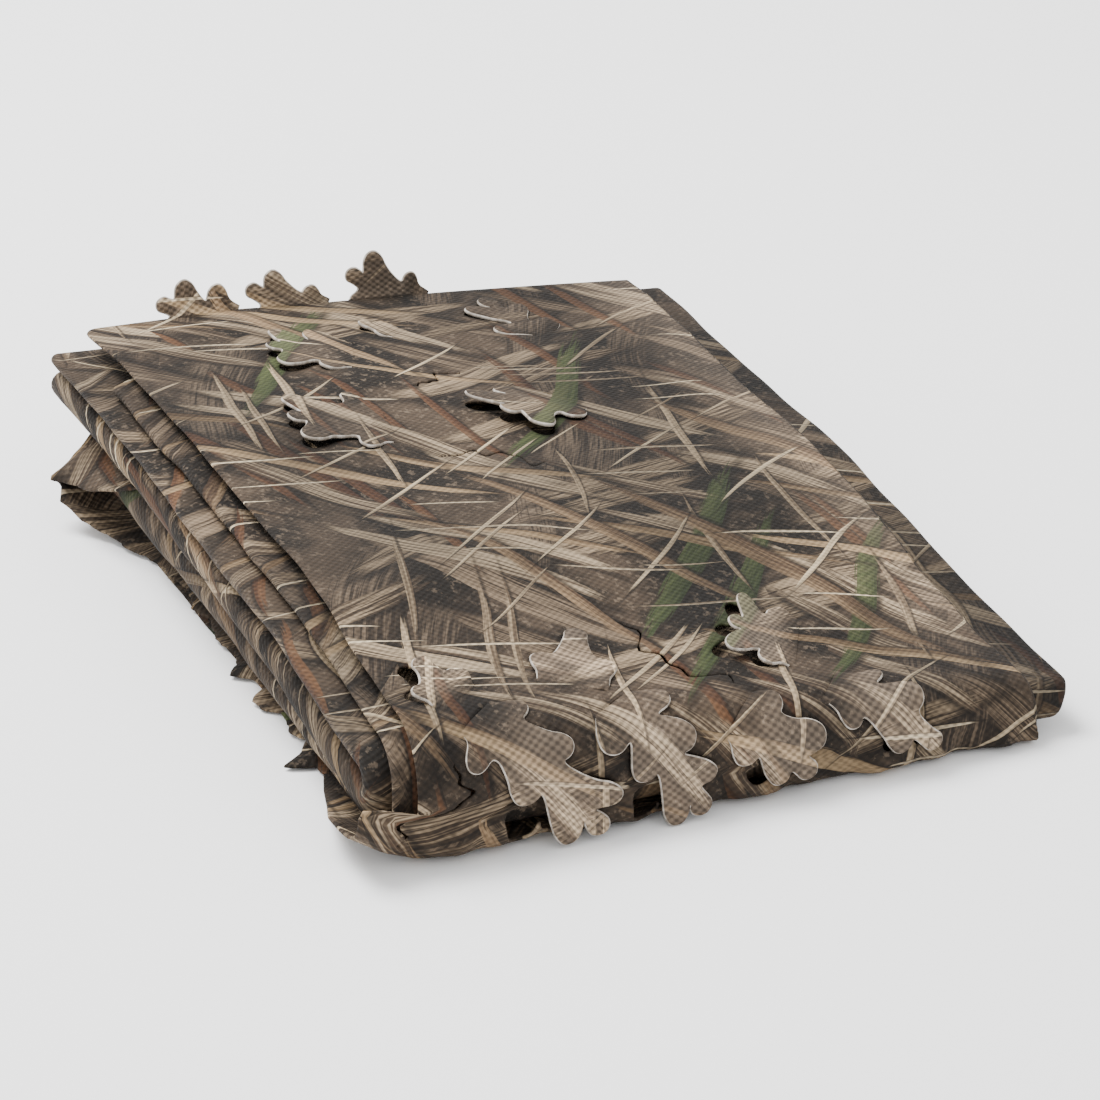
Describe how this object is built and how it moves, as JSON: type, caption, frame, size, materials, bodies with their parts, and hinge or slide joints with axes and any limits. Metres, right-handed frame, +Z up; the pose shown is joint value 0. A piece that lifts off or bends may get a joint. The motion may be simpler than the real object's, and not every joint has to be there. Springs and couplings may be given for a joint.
{
  "type": "folded camouflage net",
  "caption": "Camouflage net of die-cut leaf cloth, folded into a flat bundle with lobed leaves lifting out of its top and front.",
  "frame": {"origin": "middle of the underside, on the surface that the bundle lies on", "axes": "+Z up, -Y towards the folded front edge, +X to the right of someone facing the front edge"},
  "size_m": [0.3088, 0.379, 0.0891],
  "materials": {
    "camouflage_cloth": "matte woven polyester, printed, with pale cut edges"
  },
  "bodies": {
    "root": {"net": "camouflage_cloth"}
  },
  "joints": []
}
